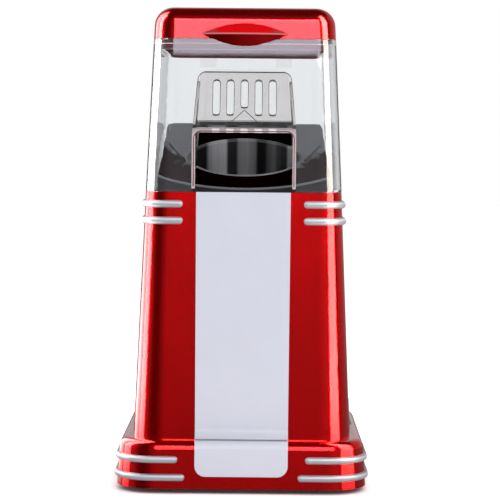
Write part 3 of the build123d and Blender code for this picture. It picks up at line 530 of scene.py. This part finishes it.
arc = [(0.0292 - 0.0050 + 0.0050 * math.cos(math.radians(a)), 0.2521 + 0.0052 * math.sin(math.radians(a))) for a in (12, 28, 45, 62, 78, 90)]
right = side + arc
bead("hood_outline_side_right", right, 0.00026, "hood_bead", out=-0.0001)
bead("hood_outline_side_left", [(-x, z) for x, z in right], 0.00026, "hood_bead", out=-0.0001)
bead("hood_outline_top", [(0.0250 - 0.0500 * k / 20, 0.2573) for k in range(21)], 0.00036, "hood_edge", out=-0.0001)

# opaque pale grey beads along the panel's two sides: painted highlights on its rounded edges
edge = [(0.0309, 0.2245), (0.0304, 0.2290), (0.0300, 0.2340), (0.0295, 0.2400), (0.0289, 0.2470), (0.0285, 0.2510)]
for sign, word in ((1, "right"), (-1, "left")):
    bead(f"hood_side_{word}", [(sign * x, z) for x, z in edge], 0.00085, "hood_side", out=-0.00055)


def on_rim(x, z):
    return (x, -0.0714 + (z - 0.1852) * 0.0447 + 0.00025, z)


# the frame round the opening, with rounded upper corners, in an opaque maroon that is a painted reflection of the
# body's red in the clear rim
frame_line = [(0.0308, 0.1866 + 0.0292 * k / 6) for k in range(7)]
frame_line += [(0.0263 + 0.0045 * math.cos(math.radians(a)), 0.2158 + 0.0045 * math.sin(math.radians(a))) for a in range(12, 91, 13)]
frame_line += [(-x, z) for x, z in frame_line[::-1]]
frame_bead = tube("opening_frame", [on_rim(x, z) for x, z in frame_line], 0.00048)
frame_bead.data.materials.append(MATERIALS["rim_painted_red"])
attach(frame_bead, "tower")


def round_outline(hw, hd, r, z, count=8):
    pts = []
    for qx, qy, a0 in ((hw - r, hd - r, 0), (-hw + r, hd - r, 90), (-hw + r, -hd + r, 180), (hw - r, -hd + r, 270)):
        for i in range(count + 1):
            a = math.radians(a0 + 90 * i / count)
            pts.append((qx + r * math.cos(a), qy + r * math.sin(a), z))
    return pts


# a fine bead runs round the tower just under its open top, in opaque pale grey: a painted highlight line
rim_bead = tube("tower_rim_bead", round_outline(0.05634 - 0.00014, 0.06734 - 0.00014, 0.0125, 0.2737), 0.00028, closed=True)
rim_bead.data.materials.append(MATERIALS["hood_side"])
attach(rim_bead, "tower")

# the plain triangle outline moulded on the hood
hood_line("mark_left", (-0.0116, 0.2228), (0.0, 0.2335), 0.00022)
hood_line("mark_right", (0.0116, 0.2228), (0.0, 0.2335), 0.00022)
hood_line("mark_base", (-0.0116, 0.2228), (0.0116, 0.2228), 0.00022, 4)

# ------------------------------------------------------------------ camera
F_PX, SIZE_PX = 1991.0, 500.0
cam_data = bpy.data.cameras.new("camera")
cam_data.sensor_width = 36.0
cam_data.lens = F_PX / SIZE_PX * 36.0
cam_data.clip_start = 0.05
cam_data.clip_end = 50.0
cam = bpy.data.objects.new("camera", cam_data)
collection.objects.link(cam)
YAW = math.radians(0.223)
PITCH = math.radians(2.961)
ROLL = math.radians(0.50)
cam.matrix_world = (
    Matrix.Translation((0.009, -1.288, 0.2108))
    @ Matrix.Rotation(YAW, 4, "Z")
    @ Matrix.Rotation(math.radians(90) - PITCH, 4, "X")
    @ Matrix.Rotation(ROLL, 4, "Z")
)
scene.camera = cam

# ------------------------------------------------------------------ studio
world = bpy.data.worlds.new("studio")
scene.world = world
world.use_nodes = True
w = Graph(world.node_tree)
w_out = w.node("ShaderNodeOutputWorld")
path = w.node("ShaderNodeLightPath")
sky = w.node("ShaderNodeTexCoord").outputs["Generated"]
x, y, z = w.split(sky)[0:3]
az = w.math("DEGREES", w.math("ARCTAN2", x, w.math("MULTIPLY", y, -1.0)))
el = w.math("DEGREES", w.math("ARCSINE", z))


# brightness near eye level, by azimuth (0 is straight in front of the object, + to its right)
level = ramp(w, az, [
    (-180, 0.42), (-165, 0.40), (-150, 0.35), (-110, 0.35), (-90, 0.40), (-74, 0.45), (-66, 0.35), (-56, 0.10), (-44, 0.02),
    (-35, 0.03), (-25, 0.08), (-17, 0.17), (-8, 0.28), (0, 0.34), (8, 0.37), (17, 0.42), (26, 0.55), (40, 0.4),
    (78, 0.06), (84, 0.10), (92, 0.35), (105, 0.40), (125, 0.42), (150, 0.42), (165, 0.42), (180, 0.42),
])
height = ramp(w, el, [(-90, 0.2), (-12, 0.25), (-6, 0.42), (-3.3, 0.68), (0, 1.0), (4, 1.1), (8, 1.0), (40, 1.0), (47, 0.12), (70, 0.05), (90, 0.05)])
front_height = ramp(w, el, [(-90, 0.3), (-12, 0.3), (-6, 0.45), (-3.3, 0.68), (0, 1.0), (4, 1.1), (8, 0.9), (50, 0.6), (64, 0.3), (78, 0.08), (90, 0.05)])
is_front = w.mul(w.step(az, -70, -50), w.step(az, 110, 85))
glow = w.mul(level, w.add(w.mul(height, w.math("SUBTRACT", 1.0, is_front)), w.mul(front_height, is_front)))
# overhead softbox in front
box = w.mul(w.mul(w.step(az, -6.0, -4.5), w.step(az, 27.5, 25.5)), w.mul(w.step(el, 7.84, 8.0), w.step(el, 44.5, 42.0)))
box_l = w.add(7.0, w.mul(w.step(el, 34, 38), 5.0))
studio = w.add(glow, w.mul(box, box_l))
# what comes out through a clear wall after turning inside it is mostly the white set
through = w.mul(w.math("GREATER_THAN", path.outputs["Transmission Depth"], 1.5), 0.6)
studio = w.mix_value(through, studio, 0.85)
was_diffuse = w.math("GREATER_THAN", path.outputs["Diffuse Depth"], 0.5)
was_glossy = w.mul(w.math("GREATER_THAN", path.outputs["Glossy Depth"], 0.5), w.math("SUBTRACT", 1.0, was_diffuse))
direct = w.math("SUBTRACT", 1.0, w.add(was_diffuse, was_glossy))
soft = w.step(el, -30, 60, 0.45, 1.12)
value = w.add(direct, w.add(w.mul(was_glossy, studio), w.mul(was_diffuse, soft)))
back = w.node("ShaderNodeBackground")
w.put(back.inputs["Color"], w.mix(w.mul(was_glossy, box), (1.0, 1.0, 1.0, 1), (0.90, 0.88, 1.0, 1)))
w.put(back.inputs["Strength"], value)
w.t.links.new(back.outputs[0], w_out.inputs[0])
world.cycles.sampling_method = "NONE"


def strip(name, corner, azimuth, dist, half, z0, z1, level, color):
    """An upright lit panel facing a front corner, seen in reflections only."""
    a = math.radians(azimuth)
    out_dir = Vector((math.sin(a), -math.cos(a), 0))
    side = Vector((math.cos(a), math.sin(a), 0))
    c = Vector((corner[0], corner[1], 0)) + out_dir * dist
    hw = dist * math.tan(math.radians(half))
    me = bpy.data.meshes.new(name)
    me.from_pydata([c - side * hw + Vector((0, 0, z0)), c + side * hw + Vector((0, 0, z0)),
                    c + side * hw + Vector((0, 0, z1)), c - side * hw + Vector((0, 0, z1))], [], [(0, 1, 2, 3)])
    o = bpy.data.objects.new(name, me)
    collection.objects.link(o)
    mm, gg, oo = material(name)
    e = gg.node("ShaderNodeEmission")
    e.inputs[0].default_value = (*color, 1)
    zz = gg.split(gg.coords())[2]
    gg.put(e.inputs[1], gg.mul(gg.mul(gg.step(zz, -0.015, 0.075), gg.step(zz, z1, z1 - 0.05)), level))
    gg.t.links.new(e.outputs[0], oo.inputs[0])
    me.materials.append(mm)
    o.visible_camera = False
    o.visible_diffuse = False
    o.visible_transmission = False
    o.visible_shadow = False
    o.visible_volume_scatter = False
    return o


strip("strip_right", (0.058, -0.070), 55, 0.04, 21, -0.04, 0.42, 22.0, (1.0, 0.92, 0.80))
strip("strip_left", (-0.058, -0.070), -92, 0.065, 14, -0.04, 0.42, 24.0, (1.0, 0.98, 0.96))
strip("strip_left_rear", (-0.058, -0.070), -124, 0.045, 17, -0.04, 0.42, 9.0, (1.0, 0.94, 0.92))


def area(name, place, target, size, power, color=(1, 1, 1), size_y=None):
    data = bpy.data.lights.new(name, "AREA")
    data.energy = power
    data.color = color
    data.size = size
    if size_y:
        data.shape = "RECTANGLE"
        data.size_y = size_y
    o = bpy.data.objects.new(name, data)
    collection.objects.link(o)
    d = Vector(target) - Vector(place)
    o.matrix_world = Matrix.Translation(place) @ d.to_track_quat("-Z", "Y").to_matrix().to_4x4()
    o.visible_glossy = False
    o.visible_camera = False
    return o


area("key", (0.5, -1.3, 1.1), (0, 0, 0.12), 0.9, 7.0)
area("top", (0.0, 0.2, 1.5), (0, 0, 0.1), 1.4, 9.0)

# floor
size = 6.0
mesh = bpy.data.meshes.new("floor")
mesh.from_pydata([(-size, -size, 0), (size, -size, 0), (size, size, 0), (-size, size, 0)], [], [(0, 1, 2, 3)])
floor = bpy.data.objects.new("floor", mesh)
collection.objects.link(floor)
fm, g, out = material("floor")
diff = g.node("ShaderNodeBsdfDiffuse")
diff.inputs[0].default_value = (0.92, 0.92, 0.925, 1)
emit = g.node("ShaderNodeEmission")
# painted light: the floor glows least under the plinth, most just round it, and less again further away, so its shade
# stays a tight contact shadow
fx, fy, fz = g.split(g.coords())[0:3]
away = g.math("MAXIMUM", g.math("SUBTRACT", g.math("ABSOLUTE", fx), 0.0767), g.math("SUBTRACT", g.math("ABSOLUTE", fy), 0.088))
g.put(emit.inputs[1], g.add(g.step(away, -0.004, 0.022, 0.0, 0.6), g.step(away, 0.06, 0.45, 0.0, -0.42)))
both = g.node("ShaderNodeAddShader")
g.t.links.new(diff.outputs[0], both.inputs[0])
g.t.links.new(emit.outputs[0], both.inputs[1])
g.t.links.new(both.outputs[0], out.inputs[0])
mesh.materials.append(fm)
floor.visible_glossy = False

# ------------------------------------------------------------------ picture settings
scene.view_settings.view_transform = "Standard"
scene.view_settings.look = "None"
scene.view_settings.exposure = 0.0
scene.view_settings.gamma = 1.0
scene.cycles.max_bounces = 20
scene.cycles.transmission_bounces = 16
scene.cycles.transparent_max_bounces = 16
scene.cycles.glossy_bounces = 8
scene.cycles.sample_clamp_indirect = 6.0
scene.cycles.blur_glossy = 0.5
